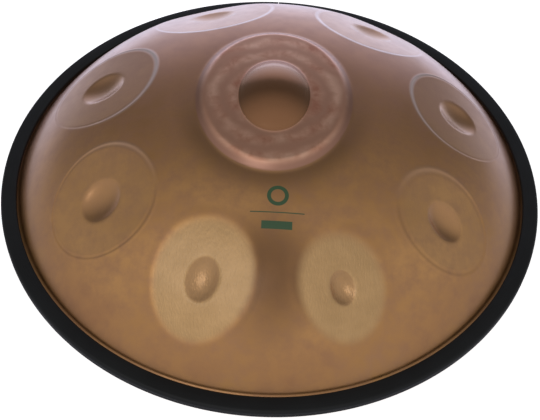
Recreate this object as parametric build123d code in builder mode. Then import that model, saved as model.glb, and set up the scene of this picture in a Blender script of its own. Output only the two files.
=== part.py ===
"""Handpan: two pressed steel shells bonded rim to rim, with a rubber guard round the rim.

Millimetres, +Z up. The origin is the centre of the resting land under the sound port,
and the front of the instrument, with its two smallest tone fields, faces -Y.
"""
import os
from math import atan2, cos, radians, sin, sqrt

from build123d import *

# ---- driving dimensions ----
sheet = 1.0                 # nitrided steel sheet, both shells
bond_gap = 0.8              # adhesive film between the two flanges

guard_radius = 265.0        # outside of the rubber, so 530 mm across
guard_reach = 15.0          # how far the guard covers the flanges
guard_web = 3.0             # rubber outside the flange edge
guard_leg = 3.5             # rubber above and below the flanges
guard_corner = 3.0          # outer corners of the guard
guard_lip = 1.2             # rounding of the guard's two inner lips
guard_joint = 0.6           # open butt joint in the guard, at the back
bead_start = 249.0          # radius at which the adhesive film widens into its bead
bead_end = 246.5            # radius of the bead's free face
bead_half = 1.2             # half the height of the bead's free face

bend_radius = 4.0           # outside radius where a shell wall turns into its flange
bend_end = 250.0            # radius at which the bend has become the flat flange
wall_angle = 55.0           # steepest slope of a shell wall, at the bend
wall_centre = 60.0          # distance of the wall arc's centre from the axis

port_radius = 50.0          # clear radius of the sound port
port_roll = 6.0             # outside radius where the land rolls into the neck
port_neck = 26.0            # the neck's height inside the body, from the land
land_radius = 68.0          # outer radius of the flat land round the port

ding_half = (66.0, 82.0)    # upper edge of the centre field, half width and half length
ding_bevel = (8.5, 6.2)     # width and height of the bevel round the centre field
ding_back = 5.0             # how far behind the axis the centre field is centred
ding_top = 8.7              # crown of the centre field above the wall arc's own top
ding_bow = 860.0            # gentle crowning radius of the centre field
dome_half = (32.0, 43.5)    # centre dome at its foot, half width and half length
dome_height = 12.8          # centre dome above the crown of its field

dimple_depth = 5.0
width_bow = 335.0           # bow radius of the plain wall across a field's width
length_bow = 246.0          # bow radius of the plain wall up a field's length

# One row for each tone field, anticlockwise from the front left:
# bearing from +X in degrees, plan radius of its centre, half length up the wall, half width
# and the size of its dimple against the field.
tone_fields = [
    (-107, 184, 60, 43, 0.33),
    (-70, 188, 53, 38, 0.29),
    (-33, 187, 57, 43, 0.36),
    (9, 184, 61, 53, 0.38),
    (56, 180, 66, 58, 0.38),
    (113, 179, 67, 62, 0.38),
    (166, 175, 64, 55, 0.38),
    (213, 180, 60, 52, 0.36),
]

# ---- worked out from them ----
flange_face = bond_gap / 2 + sheet      # outer face of each flange, from the rim plane
flange_radius = guard_radius - guard_web
wall_foot = bend_end - bend_radius * sin(radians(wall_angle))
wall_foot_level = flange_face + bend_radius * (1 - cos(radians(wall_angle)))
wall_radius = (wall_foot - wall_centre) / sin(radians(wall_angle))
wall_centre_level = wall_foot_level - wall_radius * cos(radians(wall_angle))
skirt_top = wall_foot_level + 1.0       # the plain skirt ring ends just above the bend
bend_centre = (bend_end, flange_face + bend_radius)
bevel_angle = atan2(ding_bevel[1], ding_bevel[0])


def wall_level(radius):
    """Height of the plain wall's outer face above the rim plane."""
    return wall_centre_level + sqrt(wall_radius**2 - (radius - wall_centre) ** 2)


rim_level = wall_level(land_radius)     # the rim plane's height above the resting land
field_crown = wall_centre_level + wall_radius + ding_top


# ---- the outer and the inner face of the top shell, from the rim plane up ----
def wall_end(skin):
    """Where the plain wall, skin mm inside its outer face, meets the skirt's top."""
    across = sqrt((wall_radius - skin) ** 2 - (skirt_top - wall_centre_level) ** 2)
    return (wall_centre + across, skirt_top)


def cap_radius(half, height):
    """Radius of the arc that rises by height over a chord of twice half."""
    return (half**2 + height**2) / (2 * height)


def oval_wheel(long_radius, short_radius):
    """Wheel on the X axis with a round tread, which meets a flat face in a long oval."""
    with BuildPart() as wheel:
        with BuildSketch():
            with BuildLine():
                tread = CenterArc((0, long_radius - short_radius), short_radius, 0, 180)
                Polyline(tread @ 1, (-short_radius, 0), (short_radius, 0), tread @ 0)
            make_face()
        revolve(axis=Axis.X)
    return wheel.part


def field_plane(bearing, radius, depth):
    """Plane at a field's centre, depth mm under the plain wall, X across and Z outwards."""
    turn = radians(bearing)
    slope = (radius - wall_centre) / wall_radius
    outward = Vector(cos(turn) * slope, sin(turn) * slope, sqrt(1 - slope**2))
    centre = Vector(cos(turn) * radius, sin(turn) * radius, wall_level(radius))
    return Plane(origin=centre - outward * depth, x_dir=(-sin(turn), cos(turn), 0), z_dir=outward)


def centre_field(skin):
    """Raised centre field with its bevel, as a solid that reaches down into the crown."""
    sink = 12.0
    grow = sink * ding_bevel[0] / ding_bevel[1]
    edge_level = field_crown - ding_half[1] ** 2 / (2 * ding_bow) - skin / cos(bevel_angle)
    with BuildPart() as field:
        with BuildSketch(Plane.XY.offset(edge_level - sink)):
            Ellipse(ding_half[0] + grow, ding_half[1] + grow)
        with BuildSketch(Plane.XY.offset(edge_level + sink / 4)):
            Ellipse(ding_half[0] - grow / 4, ding_half[1] - grow / 4)
        loft(ruled=True)
        with Locations((0, 0, field_crown - ding_bow)):
            Sphere(ding_bow - skin, mode=Mode.INTERSECT)
    return field.part.moved(Location((0, ding_back, 0)))


def centre_dome(skin):
    """Oval dome in the middle of the centre field, cut off inside the body."""
    long_radius = cap_radius(dome_half[1], dome_height) - skin
    short_radius = cap_radius(dome_half[0], dome_height) - skin
    with BuildPart() as dome:
        with Locations((0, 0, field_crown + dome_height - skin - long_radius)):
            add(oval_wheel(long_radius, short_radius))
        split(bisect_by=Plane.XY.offset(field_crown - dome_height), keep=Keep.TOP)
    return dome.part


def crown_solid(skin):
    """All that lies under the top shell's face, skin mm inside it, down to the skirt's top."""
    crown_top = wall_centre_level + wall_radius - skin
    with BuildPart() as crown:
        with BuildSketch(Plane.XZ):
            with BuildLine():
                wall = RadiusArc(wall_end(skin), (wall_centre, crown_top), skin - wall_radius)
                Polyline(wall @ 1, (0, crown_top), (0, skirt_top), wall @ 0)
            make_face()
        revolve(axis=Axis.Z)

        for bearing, radius, half_length, half_width, _ in tone_fields:
            depth = half_width**2 / (2 * width_bow)
            bow = 0.5 / (0.5 / length_bow - depth / half_length**2)
            with Locations(field_plane(bearing, radius, depth).offset(-bow)):
                Cylinder(bow - skin, 4 * guard_radius, rotation=(0, 90, 0), mode=Mode.INTERSECT)
        for bearing, radius, half_length, half_width, dimple_share in tone_fields:
            depth = half_width**2 / (2 * width_bow) + dimple_depth
            long_radius = cap_radius(half_length * dimple_share, dimple_depth)
            short_radius = cap_radius(half_width * dimple_share, dimple_depth)
            with Locations(field_plane(bearing, radius, depth).offset(long_radius)):
                add(oval_wheel(long_radius + skin, short_radius + skin), mode=Mode.SUBTRACT)

        add(centre_field(skin))
        add(centre_dome(skin))
    return crown.part


# ---- top shell: the playing side ----
with BuildPart() as top_shell:
    with BuildSketch(Plane.XZ):
        with BuildLine():
            bend_start = 270 - wall_angle
            outer_bend = CenterArc(bend_centre, bend_radius, bend_start, wall_angle)
            inner_bend = CenterArc(bend_centre, bend_radius + sheet, bend_start, wall_angle)
            outer_wall = RadiusArc(wall_end(0), outer_bend @ 0, wall_radius)
            inner_wall = RadiusArc(wall_end(sheet), inner_bend @ 0, wall_radius - sheet)
            Polyline(outer_bend @ 1, (flange_radius, flange_face),
                     (flange_radius, flange_face - sheet), inner_bend @ 1)
            Line(outer_wall @ 0, inner_wall @ 0)
        make_face()
    revolve(axis=Axis.Z)
    add(crown_solid(0.0))
    add(crown_solid(sheet), mode=Mode.SUBTRACT)
top_shell.part = top_shell.part.moved(Location((0, 0, rim_level)))
top_shell.part.label = "top_shell"

# ---- bottom shell: the same wall upside down, with the sound port's neck turned inwards ----
with BuildPart() as bottom_shell:
    with BuildSketch(Plane.XZ):
        with BuildLine():
            flange = Line((flange_radius, rim_level - flange_face),
                          (bend_end, rim_level - flange_face))
            bend = TangentArc(flange @ 1, (wall_foot, rim_level - wall_foot_level),
                              tangent=flange % 1)
            wall = RadiusArc(bend @ 1, (land_radius, 0), wall_radius)
            land = Line(wall @ 1, (port_radius + port_roll, 0))
            roll = TangentArc(land @ 1, (port_radius, port_roll), tangent=land % 1)
            Line(roll @ 1, (port_radius, port_neck))
            offset(amount=sheet, side=Side.RIGHT)
        make_face()
    revolve(axis=Axis.Z)
bottom_shell.part.label = "bottom_shell"

# ---- adhesive between the flanges, with the bead squeezed out inside the body ----
with BuildPart() as bond_ring:
    with BuildSketch(Plane.XZ):
        with BuildLine():
            Polyline((flange_radius, rim_level + bond_gap / 2),
                     (bead_start, rim_level + bond_gap / 2),
                     (bead_end, rim_level + bead_half),
                     (bead_end, rim_level - bead_half),
                     (bead_start, rim_level - bond_gap / 2),
                     (flange_radius, rim_level - bond_gap / 2), close=True)
        make_face()
    revolve(axis=Axis.Z)
bond_ring.part.label = "bond_ring"

# ---- rubber guard: a U round the flanges, cut to length and butted at the back ----
with BuildPart() as rim_guard:
    with BuildSketch(Plane.XZ):
        with Locations((guard_radius - guard_reach / 2, rim_level)):
            Rectangle(guard_reach, 2 * (flange_face + guard_leg))
        fillet(vertices().group_by(Axis.X)[-1], radius=guard_corner)
        fillet(vertices().group_by(Axis.X)[0], radius=guard_lip)
        with Locations((flange_radius - guard_reach / 2, rim_level)):
            Rectangle(guard_reach, 2 * flange_face, mode=Mode.SUBTRACT)
    revolve(axis=Axis.Z)
    with Locations((0, guard_radius, rim_level)):
        Box(guard_joint, 3 * guard_reach, 4 * guard_leg, mode=Mode.SUBTRACT)
rim_guard.part.label = "rim_guard"

# ---- one file for each piece ----
os.makedirs("parts", exist_ok=True)
for piece in (top_shell, bottom_shell, bond_ring, rim_guard):
    export_step(piece.part, f"parts/{piece.part.label}.step")
    box = piece.part.bounding_box()
    print(piece.part.label, round(piece.part.volume / 1000, 1), "cm3,", box.size, len(piece.part.solids()))
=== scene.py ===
"""Handpan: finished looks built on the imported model. Metres, +Z up, front towards -Y."""
from math import ceil, cos, hypot, pi, radians, sin, sqrt

import bpy
from mathutils import Matrix, Vector


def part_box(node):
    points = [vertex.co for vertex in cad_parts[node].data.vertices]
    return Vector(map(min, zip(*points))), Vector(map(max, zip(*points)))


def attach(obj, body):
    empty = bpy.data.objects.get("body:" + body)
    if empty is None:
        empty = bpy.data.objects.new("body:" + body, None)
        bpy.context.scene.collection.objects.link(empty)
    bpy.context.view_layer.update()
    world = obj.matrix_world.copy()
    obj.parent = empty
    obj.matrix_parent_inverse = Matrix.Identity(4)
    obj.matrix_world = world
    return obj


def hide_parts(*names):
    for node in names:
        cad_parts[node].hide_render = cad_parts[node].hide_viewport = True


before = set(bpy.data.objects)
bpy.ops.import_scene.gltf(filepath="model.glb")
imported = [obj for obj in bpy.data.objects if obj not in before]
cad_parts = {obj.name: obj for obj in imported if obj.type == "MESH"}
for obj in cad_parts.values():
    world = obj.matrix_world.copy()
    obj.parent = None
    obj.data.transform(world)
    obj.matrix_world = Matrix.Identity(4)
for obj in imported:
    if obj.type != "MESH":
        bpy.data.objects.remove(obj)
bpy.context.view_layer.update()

# ---- sizes, from the frame and from the shells' drawing ----
MM = 0.001

guard_low, guard_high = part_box("rim_guard")
rim_level = (guard_low.z + guard_high.z) / 2    # seam between the shells
guard_height = guard_high.z - guard_low.z
guard_radius = guard_high.x
flange_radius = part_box("top_shell")[1].x

sheet = 1.0 * MM
bond_gap = 0.8 * MM
bend_radius = 4.0 * MM
bend_end = 250.0 * MM
wall_angle = radians(55.0)
wall_centre = 60.0 * MM
land_radius = 68.0 * MM
port_radius = 50.0 * MM
port_roll = 6.0 * MM
port_neck = 26.0 * MM
guard_reach = 15.0 * MM
guard_web = 3.0 * MM
guard_corner = 3.0 * MM
guard_lip = 1.2 * MM
guard_joint = 0.6 * MM
groove_depth = 0.15 * MM
groove_edges = (1.3 * MM, 1.05 * MM, 0.65 * MM, 0.4 * MM)     # levels from the guard's middle

# the printed mark: the middle and the radius of its ring, then how far in front of it the rule
# and the bar lie, with their half lengths and half heights
mark_x, mark_y = 6.8 * MM, -108.5 * MM
mark_ring = 7.6 * MM
mark_rule = (15.2 * MM, 23.0 * MM, 0.45 * MM)
mark_bar = (26.0 * MM, 13.0 * MM, 3.4 * MM)

ding_half = (66.0 * MM, 82.0 * MM)
ding_bevel = (8.5 * MM, 6.2 * MM)
ding_back = 5.0 * MM
ding_top = 8.7 * MM
ding_bow = 860.0 * MM
dome_half = (32.0 * MM, 43.5 * MM)
dome_height = 12.8 * MM

dimple_depth = 5.0 * MM
width_bow = 335.0 * MM
length_bow = 246.0 * MM

# One row for each tone field: bearing in degrees, then its centre's plan radius, its half
# length up the wall and its half width in millimetres, the size of its dimple against the
# field, and how far it was sanded.
tone_fields = [
    (-107, 184, 60, 43, 0.33, 1.0),
    (-70, 188, 53, 38, 0.29, 0.95),
    (-33, 187, 57, 43, 0.36, 0.3),
    (9, 184, 61, 53, 0.38, 0.2),
    (56, 180, 66, 58, 0.38, 0.25),
    (113, 179, 67, 62, 0.38, 0.25),
    (166, 175, 64, 55, 0.38, 0.25),
    (213, 180, 60, 52, 0.36, 0.25),
]

flange_face = bond_gap / 2 + sheet
wall_foot = bend_end - bend_radius * sin(wall_angle)
wall_foot_level = flange_face + bend_radius * (1 - cos(wall_angle))
wall_radius = (wall_foot - wall_centre) / sin(wall_angle)
wall_centre_level = wall_foot_level - wall_radius * cos(wall_angle)
field_crown = rim_level + wall_centre_level + wall_radius + ding_top


# ---- helpers ----
def add_node(tree, kind, *values, links=None, **settings):
    """Adds a node with its settings. Values fill its first sockets and links the named ones;
    a node or a socket among them is linked, and anything else is set."""
    node = tree.nodes.new(kind)
    for name, value in settings.items():
        setattr(node, name, value)
    for key, value in list(enumerate(values)) + list((links or {}).items()):
        if isinstance(value, bpy.types.Node):
            value = value.outputs[0]
        if isinstance(value, bpy.types.NodeSocket):
            tree.links.new(value, node.inputs[key])
        elif value is not None:
            node.inputs[key].default_value = value
    return node


def new_tree(name, inputs):
    """Geometry tree with a geometry socket each way and named inputs, and its two end nodes."""
    tree = bpy.data.node_groups.new(name, "GeometryNodeTree")
    tree.interface.new_socket("Geometry", in_out="OUTPUT", socket_type="NodeSocketGeometry")
    tree.interface.new_socket("Geometry", in_out="INPUT", socket_type="NodeSocketGeometry")
    for label, kind in inputs:
        tree.interface.new_socket(label, in_out="INPUT", socket_type="NodeSocket" + kind)
    return tree, tree.nodes.new("NodeGroupInput"), tree.nodes.new("NodeGroupOutput")


def colour(code):
    """Linear colour of an sRGB hex code."""
    parts = [int(code[i:i + 2], 16) / 255 for i in (1, 3, 5)]
    return [c / 12.92 if c <= 0.04045 else ((c + 0.055) / 1.055) ** 2.4 for c in parts] + [1]


def spun(name, outline, steps, sweep=2 * pi, start=0.0):
    """Mesh of a closed outline of (radius, level, skin) turned about the vertical axis.
    A full turn closes on itself and a part turn is capped. Each point keeps its skin, how
    far along the turn it lies and how far round the outline."""
    full = sweep > 2 * pi - 1e-9
    columns = steps if full else steps + 1
    points, rows, kept = [], [], {"skin": [], "along": [], "girth": []}
    girth, before = 0.0, outline[0]
    for radius, level, skin in outline:
        girth += hypot(radius - before[0], level - before[1])
        before = (radius, level)
        turns = [sweep * column / steps for column in range(columns)] if radius else [0.0]
        rows.append([len(points)] * columns if not radius
                    else range(len(points), len(points) + columns))
        for turn in turns:
            points.append((radius * cos(start + turn), radius * sin(start + turn), level))
            kept["skin"].append(skin)
            kept["along"].append(turn * radius)
            kept["girth"].append(girth)
    faces = []
    joined = [(i, i + 1) for i in range(len(outline) - 1)]
    if outline[0][0] or outline[-1][0]:
        joined.append((len(outline) - 1, 0))
    for one, two in joined:
        for column in range(steps):
            after = (column + 1) % columns
            corners = (rows[one][column], rows[two][column], rows[two][after], rows[one][after])
            faces.append([c for i, c in enumerate(corners) if c != corners[i - 1]])
    if not full:
        faces.append([row[0] for row in rows][::-1])
        faces.append([row[-1] for row in rows])
    mesh = bpy.data.meshes.new(name)
    mesh.from_pydata(points, [], faces)
    for key, values in kept.items():
        mesh.attributes.new(key, "FLOAT", "POINT").data.foreach_set("value", values)
    mesh.shade_smooth()
    piece = bpy.data.objects.new(name, mesh)
    bpy.context.scene.collection.objects.link(piece)
    return piece


def applied(piece, tree, values):
    """Runs a geometry tree on a piece, with its inputs by name, and keeps the plain mesh."""
    modifier = piece.modifiers.new(tree.name, "NODES")
    modifier.node_group = tree
    for item in tree.interface.items_tree:
        if item.in_out == "INPUT" and item.name in values:
            modifier[item.identifier] = values[item.name]
    depsgraph = bpy.context.evaluated_depsgraph_get()
    mesh = bpy.data.meshes.new_from_object(piece.evaluated_get(depsgraph))
    piece.modifiers.remove(modifier)
    piece.data = mesh
    mesh.name = piece.name
    return piece


def wall_level(radius, skin=0.0):
    """Height of the plain wall above the rim plane, skin inside its outer face."""
    out = max(radius - wall_centre, 0)
    return wall_centre_level + sqrt((wall_radius - skin) ** 2 - out**2)


def steps_between(start, end, pitch):
    """Evenly spaced values from start up to but not including end, about pitch apart."""
    count = max(1, ceil(abs(end - start) / pitch))
    return [start + (end - start) * i / count for i in range(count)]


def shell_face(skin, pitch, inner_radius):
    """Points of one face of a plain shell from inner_radius out to the flange's edge, as
    (radius, level above the rim plane, skin)."""
    steep = pi / 2 - wall_angle
    foot = wall_centre + (wall_radius - skin) * cos(steep)
    radii = steps_between(inner_radius, foot, pitch)
    face = [(radius, wall_level(radius, skin), skin) for radius in radii]
    for angle in steps_between(wall_angle, 0, radians(9)) + [0]:
        radius = bend_end - (bend_radius + skin) * sin(angle)
        level = flange_face + bend_radius - (bend_radius + skin) * cos(angle)
        face.append((radius, level, skin))
    return face + [(flange_radius, flange_face - skin, skin)]


# ---- geometry trees for the pressed shapes ----
def keep_highest(tree, shape, name, value, selection):
    """Stores the higher of a value and what the attribute already holds."""
    before = add_node(tree, "GeometryNodeInputNamedAttribute", name)
    highest = add_node(tree, "ShaderNodeMath", before, value, operation="MAXIMUM")
    return add_node(tree, "GeometryNodeStoreNamedAttribute", shape, selection, name, highest)


def tone_field_tree():
    """One tone field: flattens the wall to a gentle bow and presses in the dimple."""
    tree, given, result = new_tree("tone_field", [
        ("Centre", "Vector"), ("Outward", "Vector"), ("Bow Radius", "Float"),
        ("Dimple Long Radius", "Float"), ("Dimple Short Radius", "Float"),
        ("Dimple Depth", "Float"), ("Dimple Reach", "Float"), ("Wall Foot", "Float"),
        ("Sanding", "Float"),
        ("Border Blend", "Float"), ("Dimple Blend", "Float")])
    skin = add_node(tree, "GeometryNodeInputNamedAttribute", "skin")
    upright = (0, 0, 1)
    side = add_node(tree, "ShaderNodeVectorMath", upright, given.outputs["Outward"],
                    operation="CROSS_PRODUCT")
    side = add_node(tree, "ShaderNodeVectorMath", side, operation="NORMALIZE")
    along = add_node(tree, "ShaderNodeVectorMath", side, upright, operation="CROSS_PRODUCT")
    up_wall = add_node(tree, "ShaderNodeVectorMath", given.outputs["Outward"], side,
                       operation="CROSS_PRODUCT")

    # the bowed face is a long cylinder whose axis runs level across the field
    depth = add_node(tree, "ShaderNodeVectorMath", given.outputs["Outward"],
                     links={"Scale": given.outputs["Bow Radius"]}, operation="SCALE")
    axis = add_node(tree, "ShaderNodeVectorMath", given.outputs["Centre"], depth,
                    operation="SUBTRACT")
    place = add_node(tree, "GeometryNodeInputPosition")
    from_axis = add_node(tree, "ShaderNodeVectorMath", place, axis, operation="SUBTRACT")
    out = add_node(tree, "ShaderNodeVectorMath", from_axis, along, operation="DOT_PRODUCT")
    out = add_node(tree, "ShaderNodeMath", out.outputs["Value"], 2.0, operation="POWER")
    bow = add_node(tree, "ShaderNodeMath", given.outputs["Bow Radius"], skin,
                   operation="SUBTRACT")
    bow = add_node(tree, "ShaderNodeMath", bow, 2.0, operation="POWER")
    rise = add_node(tree, "ShaderNodeMath", bow, out, operation="SUBTRACT")
    rise = add_node(tree, "ShaderNodeMath", rise, operation="SQRT")
    axis_parts = add_node(tree, "ShaderNodeSeparateXYZ", axis)
    face = add_node(tree, "ShaderNodeMath", axis_parts.outputs["Z"], rise, operation="ADD")
    parts = add_node(tree, "ShaderNodeSeparateXYZ", place)
    level = add_node(tree, "ShaderNodeMath", parts.outputs["Z"], face,
                     given.outputs["Border Blend"], operation="SMOOTH_MIN")
    flat = add_node(tree, "ShaderNodeCombineXYZ", parts.outputs["X"], parts.outputs["Y"], level)
    on_wall = add_node(tree, "FunctionNodeCompare", parts.outputs["Z"],
                       given.outputs["Wall Foot"], operation="GREATER_THAN")

    # how deep the face lies under the plain wall says where the field and its border are;
    # the border is stretched, and so gentler, where the field was sanded
    cut = add_node(tree, "ShaderNodeMath", parts.outputs["Z"], face, operation="SUBTRACT")
    stretch = add_node(tree, "ShaderNodeMapRange", given.outputs["Sanding"], 0.0, 0.5, 1.0, 0.3)
    border = add_node(tree, "ShaderNodeMath", cut, stretch, operation="MULTIPLY")
    shape = keep_highest(tree, given.outputs["Geometry"], "border", border, on_wall)
    sanded = add_node(tree, "ShaderNodeMapRange", cut, -0.4 * MM, 0.9 * MM, 0.0,
                      given.outputs["Sanding"])
    shape = keep_highest(tree, shape, "sanding", sanded, on_wall)
    shape = add_node(tree, "GeometryNodeSetPosition", shape,
                     links={"Selection": on_wall, "Position": flat})

    # the dimple is the tread of a wheel that stands on the field, its axis across it
    offset = add_node(tree, "ShaderNodeVectorMath", place, given.outputs["Centre"],
                      operation="SUBTRACT")
    across = add_node(tree, "ShaderNodeVectorMath", offset, side, operation="DOT_PRODUCT")
    upwards = add_node(tree, "ShaderNodeVectorMath", offset, up_wall, operation="DOT_PRODUCT")
    across = add_node(tree, "ShaderNodeMath", across.outputs["Value"], 2.0, operation="POWER")
    upwards = add_node(tree, "ShaderNodeMath", upwards.outputs["Value"], 2.0,
                       operation="POWER")
    tread = add_node(tree, "ShaderNodeMath", given.outputs["Dimple Short Radius"], skin,
                     operation="ADD")
    tread = add_node(tree, "ShaderNodeMath", tread, 2.0, operation="POWER")
    tread = add_node(tree, "ShaderNodeMath", tread, across, operation="SUBTRACT")
    tread = add_node(tree, "ShaderNodeMath", tread, operation="SQRT")
    hub = add_node(tree, "ShaderNodeMath", given.outputs["Dimple Long Radius"],
                   given.outputs["Dimple Short Radius"], operation="SUBTRACT")
    wheel = add_node(tree, "ShaderNodeMath", tread, hub, operation="ADD")
    wheel = add_node(tree, "ShaderNodeMath", wheel, 2.0, operation="POWER")
    wheel = add_node(tree, "ShaderNodeMath", wheel, upwards, operation="SUBTRACT")
    wheel = add_node(tree, "ShaderNodeMath", wheel, operation="SQRT")
    lift = add_node(tree, "ShaderNodeMath", given.outputs["Dimple Long Radius"],
                    given.outputs["Dimple Depth"], operation="SUBTRACT")
    lift = add_node(tree, "ShaderNodeMath", lift, skin, operation="ADD")
    dip = add_node(tree, "ShaderNodeMath", wheel, lift, operation="SUBTRACT")
    shape = keep_highest(tree, shape, "dimple_depth", dip, on_wall)
    dip = add_node(tree, "ShaderNodeMath", dip, 0.0, given.outputs["Dimple Blend"],
                   operation="SMOOTH_MAX")
    dip = add_node(tree, "ShaderNodeMath", dip, -1.0, operation="MULTIPLY")
    push = add_node(tree, "ShaderNodeVectorMath", given.outputs["Outward"],
                    links={"Scale": dip}, operation="SCALE")
    near = add_node(tree, "ShaderNodeVectorMath", offset, operation="LENGTH")
    near = add_node(tree, "FunctionNodeCompare", near.outputs["Value"],
                    given.outputs["Dimple Reach"], operation="LESS_THAN")
    shape = add_node(tree, "GeometryNodeSetPosition", shape,
                     links={"Selection": near, "Offset": push})
    tree.links.new(shape.outputs[0], result.inputs[0])
    return tree


def centre_field_tree():
    """The raised centre field with its bevel, and the oval dome in the middle of it."""
    tree, given, result = new_tree("centre_field", [
        ("Half Width", "Float"), ("Half Length", "Float"), ("Set Back", "Float"),
        ("Crown Level", "Float"), ("Dome Half Width", "Float"), ("Dome Half Length", "Float"),
        ("Bow Radius", "Float"), ("Bevel Slope", "Float"), ("Dome Height", "Float"),
        ("Dome Long Radius", "Float"), ("Dome Short Radius", "Float"),
        ("Field Reach", "Float"), ("Dome Reach", "Float"),
        ("Edge Blend", "Float"), ("Foot Blend", "Float"), ("Dome Blend", "Float")])
    shape = given.outputs["Geometry"]
    skin = add_node(tree, "GeometryNodeInputNamedAttribute", "skin")
    place = add_node(tree, "GeometryNodeInputPosition")
    parts = add_node(tree, "ShaderNodeSeparateXYZ", place)
    back = add_node(tree, "ShaderNodeMath", parts.outputs["Y"], given.outputs["Set Back"],
                    operation="SUBTRACT")
    flat = add_node(tree, "ShaderNodeCombineXYZ", parts.outputs["X"], back, 0.0)
    radius = add_node(tree, "ShaderNodeVectorMath", flat, operation="LENGTH")
    radius = radius.outputs["Value"]
    out = add_node(tree, "ShaderNodeMath", radius, 2.0, operation="POWER")
    wide = add_node(tree, "ShaderNodeMath", parts.outputs["X"], 2.0, operation="POWER")
    long = add_node(tree, "ShaderNodeMath", parts.outputs["Y"], 2.0, operation="POWER")

    # the crowned top of the field, part of a large sphere
    bow = add_node(tree, "ShaderNodeMath", given.outputs["Bow Radius"], skin,
                   operation="SUBTRACT")
    bow = add_node(tree, "ShaderNodeMath", bow, 2.0, operation="POWER")
    top = add_node(tree, "ShaderNodeMath", bow, out, operation="SUBTRACT")
    top = add_node(tree, "ShaderNodeMath", top, operation="SQRT")
    top = add_node(tree, "ShaderNodeMath", top, given.outputs["Bow Radius"],
                   operation="SUBTRACT")
    top = add_node(tree, "ShaderNodeMath", top, given.outputs["Crown Level"], operation="ADD")

    # the bevel falls away with the distance outside the field's oval edge
    share_x = add_node(tree, "ShaderNodeMath", parts.outputs["X"], given.outputs["Half Width"],
                       operation="DIVIDE")
    share_y = add_node(tree, "ShaderNodeMath", back, given.outputs["Half Length"],
                       operation="DIVIDE")
    share = add_node(tree, "ShaderNodeCombineXYZ", share_x, share_y, 0.0)
    share = add_node(tree, "ShaderNodeVectorMath", share, operation="LENGTH")
    edge = add_node(tree, "ShaderNodeMath", radius, share.outputs["Value"], operation="DIVIDE")
    past = add_node(tree, "ShaderNodeMath", radius, edge, operation="SUBTRACT")
    fall = add_node(tree, "ShaderNodeMath", past, given.outputs["Bevel Slope"],
                    operation="MULTIPLY")
    sag = add_node(tree, "ShaderNodeMath", given.outputs["Half Length"], 2.0,
                   operation="POWER")
    sag = add_node(tree, "ShaderNodeMath", sag, given.outputs["Bow Radius"],
                   operation="DIVIDE")
    sag = add_node(tree, "ShaderNodeMath", sag, 0.5, operation="MULTIPLY")
    bevel = add_node(tree, "ShaderNodeMath", given.outputs["Crown Level"], sag,
                     operation="SUBTRACT")
    bevel = add_node(tree, "ShaderNodeMath", bevel, fall, operation="SUBTRACT")
    bevel = add_node(tree, "ShaderNodeMath", bevel, skin, operation="SUBTRACT")
    field = add_node(tree, "ShaderNodeMath", top, bevel, given.outputs["Edge Blend"],
                     operation="SMOOTH_MIN")

    # the dome is the tread of a wheel that stands in the field, its axis along X
    dome_short = add_node(tree, "ShaderNodeMath", given.outputs["Dome Short Radius"], skin,
                          operation="SUBTRACT")
    tread = add_node(tree, "ShaderNodeMath", dome_short, 2.0, operation="POWER")
    tread = add_node(tree, "ShaderNodeMath", tread, wide, operation="SUBTRACT")
    tread = add_node(tree, "ShaderNodeMath", tread, operation="SQRT")
    hub = add_node(tree, "ShaderNodeMath", given.outputs["Dome Long Radius"],
                   given.outputs["Dome Short Radius"], operation="SUBTRACT")
    dome = add_node(tree, "ShaderNodeMath", tread, hub, operation="ADD")
    dome = add_node(tree, "ShaderNodeMath", dome, 2.0, operation="POWER")
    dome = add_node(tree, "ShaderNodeMath", dome, long, operation="SUBTRACT")
    dome = add_node(tree, "ShaderNodeMath", dome, operation="SQRT")
    dome = add_node(tree, "ShaderNodeMath", dome, given.outputs["Dome Long Radius"],
                    operation="SUBTRACT")
    dome = add_node(tree, "ShaderNodeMath", dome, given.outputs["Dome Height"],
                    operation="ADD")
    dome = add_node(tree, "ShaderNodeMath", dome, given.outputs["Crown Level"],
                    operation="ADD")

    dome_x = add_node(tree, "ShaderNodeMath", parts.outputs["X"],
                      given.outputs["Dome Half Width"], operation="DIVIDE")
    dome_y = add_node(tree, "ShaderNodeMath", parts.outputs["Y"],
                      given.outputs["Dome Half Length"], operation="DIVIDE")
    dome_share = add_node(tree, "ShaderNodeCombineXYZ", dome_x, dome_y, 0.0)
    dome_share = add_node(tree, "ShaderNodeVectorMath", dome_share, operation="LENGTH")

    # each shape is raised only near itself, as its formula holds no further out
    for rise, extent, blend, reach, name in (
            (field, share, "Foot Blend", "Field Reach", "centre_rise"),
            (dome, dome_share, "Dome Blend", "Dome Reach", "dome_rise")):
        here = add_node(tree, "GeometryNodeInputPosition")
        here = add_node(tree, "ShaderNodeSeparateXYZ", here)
        near = add_node(tree, "FunctionNodeCompare", extent.outputs["Value"],
                        given.outputs[reach], operation="LESS_THAN")
        gain = add_node(tree, "ShaderNodeMath", rise, here.outputs["Z"], operation="SUBTRACT")
        shape = keep_highest(tree, shape, name, gain, near)
        raised = add_node(tree, "ShaderNodeMath", here.outputs["Z"], rise,
                          given.outputs[blend], operation="SMOOTH_MAX")
        spot = add_node(tree, "ShaderNodeCombineXYZ", here.outputs["X"], here.outputs["Y"],
                        raised)
        shape = add_node(tree, "GeometryNodeSetPosition", shape,
                         links={"Selection": near, "Position": spot})
    tree.links.new(shape.outputs[0], result.inputs[0])
    return tree


def cap_radius(half, height):
    """Radius of the arc that rises by height over a chord of twice half."""
    return (half**2 + height**2) / (2 * height)


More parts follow.
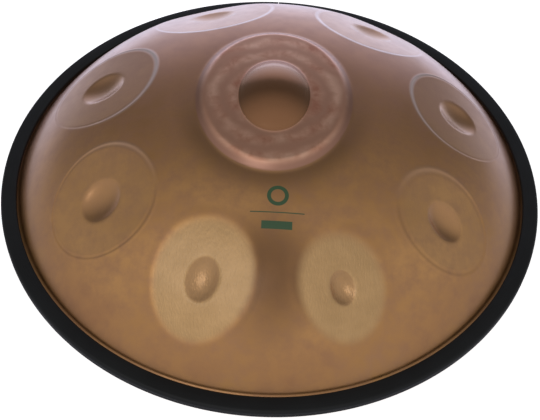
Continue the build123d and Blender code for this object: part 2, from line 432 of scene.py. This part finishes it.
def pressing_tree():
    """The whole playing side: every tone field and the centre field, pressed one by one."""
    tree, given, result = new_tree("playing_side", [
        ("Border Blend", "Float"), ("Dimple Blend", "Float"), ("Dimple Depth", "Float"),
        ("Material", "Material")])
    field_group = tone_field_tree()
    shape = given.outputs["Geometry"]
    for bearing, radius, half_length, half_width, dimple_share, sanding in tone_fields:
        radius, half_length, half_width = radius * MM, half_length * MM, half_width * MM
        turn = radians(bearing)
        slope = (radius - wall_centre) / wall_radius
        outward = Vector((cos(turn) * slope, sin(turn) * slope, sqrt(1 - slope**2)))
        on_wall = Vector((cos(turn) * radius, sin(turn) * radius,
                          rim_level + wall_level(radius)))
        depth = half_width**2 / (2 * width_bow)
        shape = add_node(tree, "GeometryNodeGroup", node_tree=field_group, links={
            "Geometry": shape,
            "Centre": on_wall - outward * depth,
            "Outward": outward,
            "Bow Radius": 0.5 / (0.5 / length_bow - depth / half_length**2),
            "Dimple Long Radius": cap_radius(half_length * dimple_share, dimple_depth),
            "Dimple Short Radius": cap_radius(half_width * dimple_share, dimple_depth),
            "Dimple Depth": given.outputs["Dimple Depth"],
            "Dimple Reach": 1.25 * half_length * dimple_share,
            "Sanding": sanding,
            "Wall Foot": rim_level + wall_foot_level,
            "Border Blend": given.outputs["Border Blend"],
            "Dimple Blend": given.outputs["Dimple Blend"]})
    shape = add_node(tree, "GeometryNodeGroup", node_tree=centre_field_tree(), links={
        "Geometry": shape,
        "Half Width": ding_half[0],
        "Half Length": ding_half[1],
        "Set Back": ding_back,
        "Crown Level": field_crown,
        "Bow Radius": ding_bow,
        "Bevel Slope": ding_bevel[1] / ding_bevel[0],
        "Dome Half Width": dome_half[0],
        "Dome Half Length": dome_half[1],
        "Dome Height": dome_height,
        "Dome Long Radius": cap_radius(dome_half[1], dome_height),
        "Dome Short Radius": cap_radius(dome_half[0], dome_height),
        "Field Reach": 1.45,
        "Dome Reach": 1.25,
        "Edge Blend": 0.8 * MM,
        "Foot Blend": 1.6 * MM,
        "Dome Blend": 2.0 * MM})
    shape = add_node(tree, "GeometryNodeSetShadeSmooth", shape)
    shape = add_node(tree, "GeometryNodeRealizeInstances", shape)
    shape = add_node(tree, "GeometryNodeSetMaterial", shape,
                     links={"Material": given.outputs["Material"]})
    tree.links.new(shape.outputs[0], result.inputs[0])
    return tree


# ---- materials ----
def new_material(name):
    """Material with its node tree and its surface shader."""
    material = bpy.data.materials.new(name)
    material.use_nodes = True
    tree = material.node_tree
    return material, tree, tree.nodes["Principled BSDF"]


def worked_areas(tree):
    """Masks from 0 to 1 over the playing side, by name, read from the depths and rises that
    were stored as the sheet was pressed."""
    areas = {}
    for name, source, low, high in (
            ("sanding", "sanding", 0.0, 1.0),
            ("dimple", "dimple_depth", -0.3 * MM, 0.6 * MM),
            ("centre_field", "centre_rise", -0.2 * MM, 1.0 * MM),
            ("round_centre_field", "centre_rise", -16 * MM, -2 * MM),
            ("centre_bevel", "centre_rise", 6 * MM, 2 * MM),
            ("dome", "dome_rise", -0.5 * MM, 0.5 * MM),
            ("outer_face", "skin", 0.6 * MM, 0.4 * MM)):
        read = add_node(tree, "ShaderNodeAttribute", attribute_name=source)
        areas[name] = add_node(tree, "ShaderNodeMapRange", read.outputs["Fac"], low, high,
                               interpolation_type="SMOOTHSTEP").outputs[0]
    return areas


def printed_mark(tree, level):
    """Mask of the plain printed mark: a ring over a thin rule and a short bar."""
    place = add_node(tree, "ShaderNodeVectorMath", level, (mark_x, mark_y, 0.0),
                     operation="SUBTRACT")
    ring = add_node(tree, "ShaderNodeVectorMath", place, operation="LENGTH")
    ring = add_node(tree, "ShaderNodeMath", ring.outputs["Value"], mark_ring,
                    operation="SUBTRACT")
    ring = add_node(tree, "ShaderNodeMath", ring, operation="ABSOLUTE")
    mark = add_node(tree, "ShaderNodeMapRange", ring, 1.9 * MM, 1.5 * MM)
    for drop, half_long, half_high in (mark_rule, mark_bar):
        there = add_node(tree, "ShaderNodeVectorMath", place, (0.0, drop, 0.0),
                         operation="ADD")
        there = add_node(tree, "ShaderNodeVectorMath", there, operation="ABSOLUTE")
        there = add_node(tree, "ShaderNodeVectorMath", there, (half_long, half_high, 0.0),
                         operation="SUBTRACT")
        there = add_node(tree, "ShaderNodeSeparateXYZ", there)
        there = add_node(tree, "ShaderNodeMath", there.outputs["X"], there.outputs["Y"],
                         operation="MAXIMUM")
        there = add_node(tree, "ShaderNodeMapRange", there, 0.2 * MM, -0.2 * MM)
        mark = add_node(tree, "ShaderNodeMath", mark, there, operation="MAXIMUM")
    return mark


def steel_relief(tree, spot, areas, strokes, border):
    """Normal of the playing side's fine relief."""
    # hammer marks about 9 mm across, and the disc's grain, drawn 1.5 mm wide and 5 mm long:
    # coarser than the real grit, so that it shows
    hammer = add_node(tree, "ShaderNodeTexNoise", spot,
                      links={"Scale": 1 / (9 * MM), "Detail": 1.0})
    dented = add_node(tree, "ShaderNodeBump", 0.10, 0.3 * MM,
                      links={"Height": hammer.outputs[0]})
    turned = add_node(tree, "ShaderNodeMapping", spot, links={
        "Rotation": (0.0, 0.0, radians(38)),
        "Scale": (1 / (1.5 * MM), 1 / (5 * MM), 1 / (3 * MM))})
    grain = add_node(tree, "ShaderNodeTexNoise", turned, links={"Scale": 1.0, "Detail": 2.0})
    rough = add_node(tree, "ShaderNodeMath", areas["sanding"], 0.95, 0.04,
                     operation="MULTIPLY_ADD")
    brushed = add_node(tree, "ShaderNodeBump", rough, 0.4 * MM,
                       links={"Height": grain.outputs[0], "Normal": dented.outputs[0]})
    sanded = add_node(tree, "ShaderNodeMath", areas["centre_field"], 0.30,
                      operation="MULTIPLY")
    sanded = add_node(tree, "ShaderNodeBump", sanded, 0.08 * MM,
                      links={"Height": strokes.outputs["Fac"], "Normal": brushed.outputs[0]})

    # each field is ringed by the line of blows that set it: a low lip outside, a groove inside
    blows = add_node(tree, "ShaderNodeMapRange", border, -0.7 * MM, 0.7 * MM)
    blows = add_node(tree, "ShaderNodeValToRGB", blows)
    ramp = blows.color_ramp
    ramp.interpolation = "EASE"
    for place, grey in ((0.2, 0.5), (0.40, 0.72), (0.60, 0.15), (0.8, 0.5)):
        stop = ramp.elements.new(place)
        stop.color = (grey, grey, grey, 1)
    ramp.elements[0].color = ramp.elements[-1].color = (0.5, 0.5, 0.5, 1)
    return add_node(tree, "ShaderNodeBump", 0.8, 0.7 * MM,
                    links={"Height": blows.outputs[0], "Normal": sanded.outputs[0]})


def nitrided_steel():
    """Heat-nitrided sheet steel of the playing side: a bronze oxide film over bare metal,
    oiled, so that it turns pale and silvery where it is seen at a slant.
    Hammering leaves it softly dented, and the film runs to orange at the rim. Towards the back
    it turns rosy brown, partly the film's own tint and partly a painted reflection of the
    backdrop. The two front fields are sanded paler and duller, and the centre dome is
    polished until it mirrors the room."""
    material, tree, surface = new_material("nitrided_steel_playing_side")
    surface.inputs["Metallic"].default_value = 1.0
    surface.inputs["Coat Weight"].default_value = 0.7
    surface.inputs["Coat Roughness"].default_value = 0.22
    spot = add_node(tree, "ShaderNodeTexCoord").outputs["Object"]
    parts = add_node(tree, "ShaderNodeSeparateXYZ", spot)
    level = add_node(tree, "ShaderNodeCombineXYZ", parts.outputs["X"], parts.outputs["Y"], 0.0)
    radius = add_node(tree, "ShaderNodeVectorMath", level, operation="LENGTH").outputs["Value"]
    areas = worked_areas(tree)

    # heat colours: clouds a hand wide, patches a finger wide
    clouds = add_node(tree, "ShaderNodeTexNoise", spot,
                      links={"Scale": 1 / (90 * MM), "Detail": 3.0, "Distortion": 0.6})
    clouds = add_node(tree, "ShaderNodeMapRange", clouds.outputs[0], 0.35, 0.65)
    patches = add_node(tree, "ShaderNodeTexNoise", spot,
                       links={"Scale": 1 / (16 * MM), "Detail": 5.0, "Roughness": 0.62})
    patches = add_node(tree, "ShaderNodeMapRange", patches.outputs[0], 0.38, 0.66)
    film = add_node(tree, "ShaderNodeMix", clouds, data_type="RGBA",
                    links={6: colour("#BF8B53"), 7: colour("#D09A60")})
    film = add_node(tree, "ShaderNodeMix", patches, data_type="RGBA",
                    links={6: film.outputs[2], 7: colour("#BC8A5E")})

    # towards the rim the film runs to orange, and towards the back to a rosy brown that is
    # partly the film's own tint and partly a painted reflection of the pale backdrop
    burnt = add_node(tree, "ShaderNodeMapRange", radius, 205 * MM, 246 * MM, 0.0, 0.7,
                     interpolation_type="SMOOTHSTEP")
    burnt = add_node(tree, "ShaderNodeMath", burnt, clouds, operation="MULTIPLY")
    film = add_node(tree, "ShaderNodeMix", burnt, data_type="RGBA",
                    links={6: film.outputs[2], 7: colour("#AC774C")})
    rosy = add_node(tree, "ShaderNodeMapRange", parts.outputs["Y"], -110 * MM, 90 * MM, 0.0,
                    0.7, interpolation_type="SMOOTHSTEP")
    film = add_node(tree, "ShaderNodeMix", rosy, data_type="RGBA",
                    links={6: film.outputs[2], 7: colour("#BE8C76")})

    # between the two front fields the colour is darker
    darkened = add_node(tree, "ShaderNodeVectorMath", level, (0.0, -172 * MM, 0.0),
                      operation="DISTANCE")
    darkened = add_node(tree, "ShaderNodeMapRange", darkened.outputs["Value"], 10 * MM, 62 * MM,
                      0.9, 0.0, interpolation_type="SMOOTHSTEP")
    film = add_node(tree, "ShaderNodeMix", darkened, data_type="RGBA",
                    links={6: film.outputs[2], 7: colour("#7A5430")})

    # behind, the border of each field is drawn pale on the side of the crown, in place of
    # the bright line that a hammered edge catches
    border = add_node(tree, "ShaderNodeAttribute", attribute_name="border").outputs["Fac"]
    crest = add_node(tree, "ShaderNodeMath", border, operation="ABSOLUTE")
    crest = add_node(tree, "ShaderNodeMapRange", crest, 0.45 * MM, 0.0,
                     interpolation_type="SMOOTHSTEP")
    crest = add_node(tree, "ShaderNodeMath", crest, rosy, operation="MULTIPLY")
    inner = add_node(tree, "ShaderNodeMapRange", radius, 210 * MM, 145 * MM)
    crest = add_node(tree, "ShaderNodeMath", crest, inner, operation="MULTIPLY")
    film = add_node(tree, "ShaderNodeMix", crest, data_type="RGBA",
                    links={6: film.outputs[2], 7: colour("#F2E4E0")})

    # the sanded fields, and their dimples left darker
    pale = add_node(tree, "ShaderNodeMix", patches, data_type="RGBA",
                    links={6: colour("#D5AB76"), 7: colour("#CCA36F")})
    film = add_node(tree, "ShaderNodeMix", areas["sanding"], data_type="RGBA",
                    links={6: film.outputs[2], 7: pale.outputs[2]})
    dipped = add_node(tree, "ShaderNodeMath", areas["dimple"], 0.55, operation="MULTIPLY")
    film = add_node(tree, "ShaderNodeMix", dipped, data_type="RGBA",
                    links={6: film.outputs[2], 7: colour("#B9885C")})

    # the centre field: pink-brown, blotched and stroked round by the disc, darker on its
    # bevel, with a painted shadow in front of its foot; the same colour spreads on to the wall
    # behind and beside it
    blotches = add_node(tree, "ShaderNodeTexNoise", spot,
                        links={"Scale": 1 / (24 * MM), "Detail": 4.0, "Roughness": 0.6,
                               "Distortion": 0.3})
    blotches = add_node(tree, "ShaderNodeMapRange", blotches.outputs[0], 0.36, 0.64)
    pink = add_node(tree, "ShaderNodeMix", blotches, data_type="RGBA",
                    links={6: colour("#CC8A6C"), 7: colour("#F6C4A6")})
    strokes = add_node(tree, "ShaderNodeTexWave", spot, wave_type="RINGS",
                       rings_direction="Z",
                       links={"Scale": 1 / (20 * 3 * MM), "Distortion": 4.0, "Detail": 3.0,
                              "Detail Scale": 1.0, "Detail Roughness": 0.7})
    pink = add_node(tree, "ShaderNodeMix", strokes.outputs["Fac"], data_type="RGBA",
                    links={6: pink.outputs[2], 7: colour("#D29C80")})
    pink = add_node(tree, "ShaderNodeMix", areas["centre_bevel"], data_type="RGBA",
                    links={6: pink.outputs[2], 7: colour("#B0806A")})
    # painted shadow: the ring just outside the centre field is darkened on its front side
    shade = add_node(tree, "ShaderNodeMapRange", parts.outputs["Y"], 30 * MM, -50 * MM, 0.0,
                     0.55)
    shade = add_node(tree, "ShaderNodeMath", areas["round_centre_field"], shade,
                     operation="MULTIPLY")
    film = add_node(tree, "ShaderNodeMix", shade, data_type="RGBA",
                    links={6: film.outputs[2], 7: colour("#84603F")})
    spread = add_node(tree, "ShaderNodeMath", areas["round_centre_field"], 0.6,
                      operation="MULTIPLY")
    spread = add_node(tree, "ShaderNodeMath", spread, blotches, operation="MULTIPLY")
    spread = add_node(tree, "ShaderNodeMath", spread, rosy, operation="MULTIPLY")
    spread = add_node(tree, "ShaderNodeMath", spread, areas["centre_field"],
                      operation="MAXIMUM")
    film = add_node(tree, "ShaderNodeMix", spread, data_type="RGBA",
                    links={6: film.outputs[2], 7: pink.outputs[2]})
    film = add_node(tree, "ShaderNodeMix", areas["dome"], data_type="RGBA",
                    links={6: film.outputs[2], 7: colour("#9E6C46")})

    # the mark is ink over the metal
    mark = printed_mark(tree, level)
    mark = add_node(tree, "ShaderNodeMath", mark, areas["outer_face"], operation="MULTIPLY")
    painted = add_node(tree, "ShaderNodeMix", mark, data_type="RGBA",
                       links={6: film.outputs[2], 7: colour("#2C5228")})
    tree.links.new(painted.outputs[2], surface.inputs["Base Color"])
    bare = add_node(tree, "ShaderNodeMath", 1.0, mark, operation="SUBTRACT")
    tree.links.new(bare.outputs[0], surface.inputs["Metallic"])

    # gloss: satin sheet, duller fields, polished dome
    gloss = add_node(tree, "ShaderNodeMapRange", patches, 0.0, 1.0, 0.34, 0.42)
    for name, value in (("sanding", 0.50), ("dimple", 0.33), ("centre_field", 0.36),
                        ("dome", 0.16)):
        gloss = add_node(tree, "ShaderNodeMix", areas[name],
                         links={2: gloss.outputs[0], 3: value})
    tree.links.new(gloss.outputs[0], surface.inputs["Roughness"])
    relief = steel_relief(tree, spot, areas, strokes, border)
    tree.links.new(relief.outputs[0], surface.inputs["Normal"])
    return material


def base_steel():
    """The same nitrided sheet on the lap side: one even bronze with heat clouds, a turned
    brushing about the axis, and a lighter worn band on the land it stands on."""
    material, tree, surface = new_material("nitrided_steel_lap_side")
    surface.inputs["Metallic"].default_value = 1.0
    spot = add_node(tree, "ShaderNodeTexCoord").outputs["Object"]
    parts = add_node(tree, "ShaderNodeSeparateXYZ", spot)
    clouds = add_node(tree, "ShaderNodeTexNoise", spot,
                      links={"Scale": 1 / (70 * MM), "Detail": 4.0, "Distortion": 0.8})
    clouds = add_node(tree, "ShaderNodeMapRange", clouds.outputs[0], 0.35, 0.65)
    film = add_node(tree, "ShaderNodeMix", clouds, data_type="RGBA",
                    links={6: colour("#A87F5E"), 7: colour("#BD9370")})
    worn = add_node(tree, "ShaderNodeMapRange", parts.outputs["Z"], 1.2 * MM, 0.0, 0.0, 0.7)
    film = add_node(tree, "ShaderNodeMix", worn, data_type="RGBA",
                    links={6: film.outputs[2], 7: colour("#C9B29C")})
    tree.links.new(film.outputs[2], surface.inputs["Base Color"])
    strokes = add_node(tree, "ShaderNodeTexWave", spot, wave_type="RINGS",
                       rings_direction="Z",
                       links={"Scale": 1 / (20 * 1.6 * MM), "Distortion": 7.0, "Detail": 3.0,
                              "Detail Scale": 1.2})
    gloss = add_node(tree, "ShaderNodeMapRange", strokes.outputs["Fac"], 0.0, 1.0, 0.28, 0.37)
    tree.links.new(gloss.outputs[0], surface.inputs["Roughness"])
    hammer = add_node(tree, "ShaderNodeTexNoise", spot,
                      links={"Scale": 1 / (11 * MM), "Detail": 1.0})
    dented = add_node(tree, "ShaderNodeBump", 0.2, 0.3 * MM,
                      links={"Height": hammer.outputs[0]})
    brushed = add_node(tree, "ShaderNodeBump", 0.15, 0.08 * MM,
                       links={"Height": strokes.outputs["Fac"], "Normal": dented.outputs[0]})
    tree.links.new(brushed.outputs[0], surface.inputs["Normal"])
    return material


def guard_rubber():
    """Extruded black rubber: matt and a little chalky, with drawn lines along its length
    and a fine grain that breaks up the light on its corners."""
    material, tree, surface = new_material("extruded_black_rubber")
    surface.inputs["IOR"].default_value = 1.5
    surface.inputs["Specular IOR Level"].default_value = 0.35
    spot = add_node(tree, "ShaderNodeTexCoord").outputs["Object"]
    run = []
    for name in ("along", "girth"):
        run.append(add_node(tree, "ShaderNodeAttribute", attribute_name=name).outputs["Fac"])
    path = add_node(tree, "ShaderNodeCombineXYZ", run[0], run[1], 0.0)
    drawn = add_node(tree, "ShaderNodeMapping", path,
                     links={"Scale": (1 / (60 * MM), 1 / (1.2 * MM), 1.0)})
    drawn = add_node(tree, "ShaderNodeTexNoise", drawn, links={"Scale": 1.0, "Detail": 2.0})
    grain = add_node(tree, "ShaderNodeTexNoise", spot,
                     links={"Scale": 1 / (0.9 * MM), "Detail": 2.0})
    dusty = add_node(tree, "ShaderNodeTexNoise", spot,
                     links={"Scale": 1 / (40 * MM), "Detail": 3.0})
    dusty = add_node(tree, "ShaderNodeMapRange", dusty.outputs[0], 0.4, 0.7)
    black = add_node(tree, "ShaderNodeMix", dusty, data_type="RGBA",
                     links={6: colour("#0B0C0E"), 7: colour("#121416")})
    tree.links.new(black.outputs[2], surface.inputs["Base Color"])
    gloss = add_node(tree, "ShaderNodeMapRange", drawn.outputs[0], 0.3, 0.7, 0.42, 0.60)
    tree.links.new(gloss.outputs[0], surface.inputs["Roughness"])
    lined = add_node(tree, "ShaderNodeBump", 0.5, 0.15 * MM,
                     links={"Height": drawn.outputs[0]})
    grained = add_node(tree, "ShaderNodeBump", 0.45, 0.10 * MM,
                       links={"Height": grain.outputs[0], "Normal": lined.outputs[0]})
    tree.links.new(grained.outputs[0], surface.inputs["Normal"])
    return material


def cured_adhesive():
    """Structural adhesive, cured grey-black: matt, with the small swells of a bead that was
    pressed out by hand."""
    material, tree, surface = new_material("cured_adhesive")
    spot = add_node(tree, "ShaderNodeTexCoord").outputs["Object"]
    swells = add_node(tree, "ShaderNodeTexNoise", spot,
                      links={"Scale": 1 / (5 * MM), "Detail": 3.0})
    grey = add_node(tree, "ShaderNodeMix", swells.outputs[0], data_type="RGBA",
                    links={6: colour("#2A2826"), 7: colour("#45423E")})
    tree.links.new(grey.outputs[2], surface.inputs["Base Color"])
    gloss = add_node(tree, "ShaderNodeMapRange", swells.outputs[0], 0.3, 0.7, 0.55, 0.75)
    tree.links.new(gloss.outputs[0], surface.inputs["Roughness"])
    lumpy = add_node(tree, "ShaderNodeBump", 0.6, 0.5 * MM,
                     links={"Height": swells.outputs[0]})
    tree.links.new(lumpy.outputs[0], surface.inputs["Normal"])
    return material


# ---- pieces ----
def finish_piece(piece, node):
    """Hands a finished mesh over in place of its CAD node."""
    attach(piece, "root")
    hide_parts(node)


def make_top_shell():
    """The playing side: a plain shell, close-meshed outside, that the tree presses to shape."""
    hub_radius = 26 * MM
    outer = shell_face(0.0, 1.6 * MM, hub_radius)
    inner = shell_face(sheet, 9.0 * MM, hub_radius)
    hub = [(radius, wall_level(0), 0.0) for radius in (0, 7 * MM, 13 * MM, 18 * MM, 22 * MM)]
    hub_under = [(radius, wall_level(0, sheet), sheet) for radius in (0, 9 * MM, 18 * MM)]
    outline = hub + outer + inner[::-1] + hub_under[::-1]
    outline = [(radius, rim_level + level, skin) for radius, level, skin in outline]
    piece = spun("playing_shell", outline, 500)
    for name in ("border", "sanding", "dimple_depth", "centre_rise", "dome_rise"):
        nowhere = [-1.0] * len(piece.data.vertices)
        piece.data.attributes.new(name, "FLOAT", "POINT").data.foreach_set("value", nowhere)
    applied(piece, pressing_tree(), {
        "Border Blend": 0.35 * MM, "Dimple Blend": 0.3 * MM, "Dimple Depth": dimple_depth,
        "Material": nitrided_steel()})
    finish_piece(piece, "top_shell")


def make_bottom_shell():
    """The lap side: the plain wall upside down, its flat land, and the neck turned in."""
    outline = []
    for skin, pitch in ((0.0, 4.0 * MM), (sheet, 6.0 * MM)):
        face = [(port_radius + skin, level)
                for level in (port_neck, 20 * MM, 14 * MM, 9 * MM)]
        for angle in steps_between(0, pi / 2, radians(12)):
            turn = port_roll - skin
            face.append((port_radius + port_roll - turn * cos(angle),
                         port_roll - turn * sin(angle)))
        face.append((port_radius + port_roll, skin))
        wall = shell_face(skin, pitch, land_radius)
        face += [(radius, rim_level - level) for radius, level, _ in wall]
        outline.append([(radius, level, skin) for radius, level in face])
    piece = spun("lap_shell", outline[1] + outline[0][::-1], 384)
    piece.data.materials.append(base_steel())
    finish_piece(piece, "bottom_shell")


def make_rim_guard():
    """The rubber U round the flanges: rounded corners, rounded lips, two drawn grooves on its
    outside, and a butt joint at the back."""
    half = guard_height / 2
    lip_radius = guard_radius - guard_reach
    outline = [(lip_radius, flange_face + guard_lip)]
    for angle in steps_between(pi, pi / 2, radians(30)) + [pi / 2]:
        outline.append((lip_radius + guard_lip * (1 + cos(angle)),
                        half - guard_lip * (1 - sin(angle))))
    for angle in steps_between(pi / 2, 0, radians(15)) + [0]:
        outline.append((guard_radius - guard_corner * (1 - cos(angle)),
                        half - guard_corner * (1 - sin(angle))))
    for level, depth in zip(groove_edges, (0, groove_depth, groove_depth, 0)):
        outline.append((guard_radius - depth, level))
    lower = [(radius, -level) for radius, level in outline[::-1]]
    slot = [(lip_radius, -flange_face), (guard_radius - guard_web, -flange_face),
            (guard_radius - guard_web, flange_face), (lip_radius, flange_face)]
    outline = [(radius, rim_level + level, 0.0) for radius, level in outline + lower + slot]
    gap = guard_joint / guard_radius
    piece = spun("guard", outline, 480, 2 * pi - gap, pi / 2 + gap / 2)
    piece.data.materials.append(guard_rubber())
    finish_piece(piece, "rim_guard")


def dress_bond_ring():
    """The adhesive keeps its CAD shape and gets its finish."""
    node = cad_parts["bond_ring"]
    node.data.materials.clear()
    node.data.materials.append(cured_adhesive())


make_top_shell()
make_bottom_shell()
make_rim_guard()
dress_bond_ring()


# ---- floor, light and camera ----
def make_stage():
    """A pale table, lit from below so that it looks white right up to the rim. It throws
    little of that light on the instrument but behind it, where the backdrop's light falls."""
    reach = 6.0
    mesh = bpy.data.meshes.new("table")
    mesh.from_pydata([(-reach, -reach, 0), (reach, -reach, 0), (reach, reach, 0),
                      (-reach, reach, 0)], [], [(0, 1, 2, 3)])
    table = bpy.data.objects.new("table", mesh)
    bpy.context.scene.collection.objects.link(table)
    material, tree, surface = new_material("pale_table")
    surface.inputs["Base Color"].default_value = colour("#F2F2F4")
    surface.inputs["Roughness"].default_value = 0.9
    sight = add_node(tree, "ShaderNodeLightPath").outputs["Is Camera Ray"]
    tint = add_node(tree, "ShaderNodeMix", sight, data_type="RGBA",
                    links={6: colour("#D4DAFF"), 7: colour("#FFFFFF")})
    tree.links.new(tint.outputs[2], surface.inputs["Emission Color"])
    spot = add_node(tree, "ShaderNodeTexCoord").outputs["Object"]
    parts = add_node(tree, "ShaderNodeSeparateXYZ", spot)
    behind = add_node(tree, "ShaderNodeMapRange", parts.outputs["Y"], 0.15, 0.50, 0.0, 0.90)
    beside = add_node(tree, "ShaderNodeMath", parts.outputs["X"], operation="ABSOLUTE")
    beside = add_node(tree, "ShaderNodeMapRange", beside, 1.0, 0.45)
    thrown = add_node(tree, "ShaderNodeMath", behind, beside, 0.15, operation="MULTIPLY_ADD")
    glow = add_node(tree, "ShaderNodeMix", sight, links={2: thrown, 3: 0.8})
    tree.links.new(glow.outputs[0], surface.inputs["Emission Strength"])
    mesh.materials.append(material)


def make_light(name, place, target, size, radiance):
    """A softbox whose face has the given radiance."""
    light = bpy.data.lights.new(name, "AREA")
    light.shape = "RECTANGLE"
    light.size, light.size_y = size
    light.energy = radiance * pi * size[0] * size[1]
    lamp = bpy.data.objects.new(name, light)
    bpy.context.scene.collection.objects.link(lamp)
    lamp.location = place
    lamp.rotation_euler = (Vector(target) - Vector(place)).to_track_quat("-Z", "Y").to_euler()


def make_room():
    """A white backdrop behind the table, a dim room at the sides and overhead, and a broad
    paler wall in front."""
    world = bpy.data.worlds.new("studio")
    bpy.context.scene.world = world
    world.use_nodes = True
    tree = world.node_tree
    toward = add_node(tree, "ShaderNodeTexCoord").outputs["Generated"]
    parts = add_node(tree, "ShaderNodeSeparateXYZ", toward)
    depth = add_node(tree, "ShaderNodeMapRange", parts.outputs["Y"], -1.0, 1.0)
    walls = add_node(tree, "ShaderNodeValToRGB", depth)
    ramp = walls.color_ramp.elements
    for place, grey in ((0.12, 0.60), (0.30, 0.56), (0.50, 0.50), (0.65, 0.37), (0.80, 0.16),
                        (0.89, 0.18), (0.94, 0.56)):
        stop = ramp.new(place)
        stop.color = (grey, grey, grey, 1)
    ramp[0].color = (0.55, 0.55, 0.55, 1)
    ramp[-2].color = (0.54, 0.54, 0.66, 1)
    ramp[-1].color = (0.86, 0.90, 1.15, 1)
    tree.links.new(walls.outputs[0], tree.nodes["Background"].inputs["Color"])


def make_camera():
    """Camera at the viewing angle: distance and elevation about the rim's centre, then the
    small turns that put the instrument where it sits in the frame."""
    distance, elevation = 0.9, radians(48.94)
    pan, tilt, roll = 0.0008, 0.0423, -0.0446
    lens, sensor = 59.61, 36.0
    camera = bpy.data.cameras.new("camera")
    camera.lens = lens
    camera.sensor_width = sensor
    viewer = bpy.data.objects.new("camera", camera)
    bpy.context.scene.collection.objects.link(viewer)
    back = Vector((0, -cos(elevation), sin(elevation)))
    base = Matrix.Rotation(pi / 2 - elevation, 3, "X")
    turn = (Matrix.Rotation(roll, 3, "Z") @ Matrix.Rotation(tilt, 3, "X")
            @ Matrix.Rotation(pan, 3, "Y"))
    viewer.matrix_world = (base @ turn.transposed()).to_4x4()
    viewer.location = Vector((0, 0, rim_level)) + back * distance
    bpy.context.scene.camera = viewer


make_stage()
make_room()
make_light("front_softbox", (-0.5, -1.0, 1.6), (0, 0, 0.1), (0.9, 0.6), 1.0)
make_camera()
bpy.context.scene.view_settings.view_transform = "Standard"
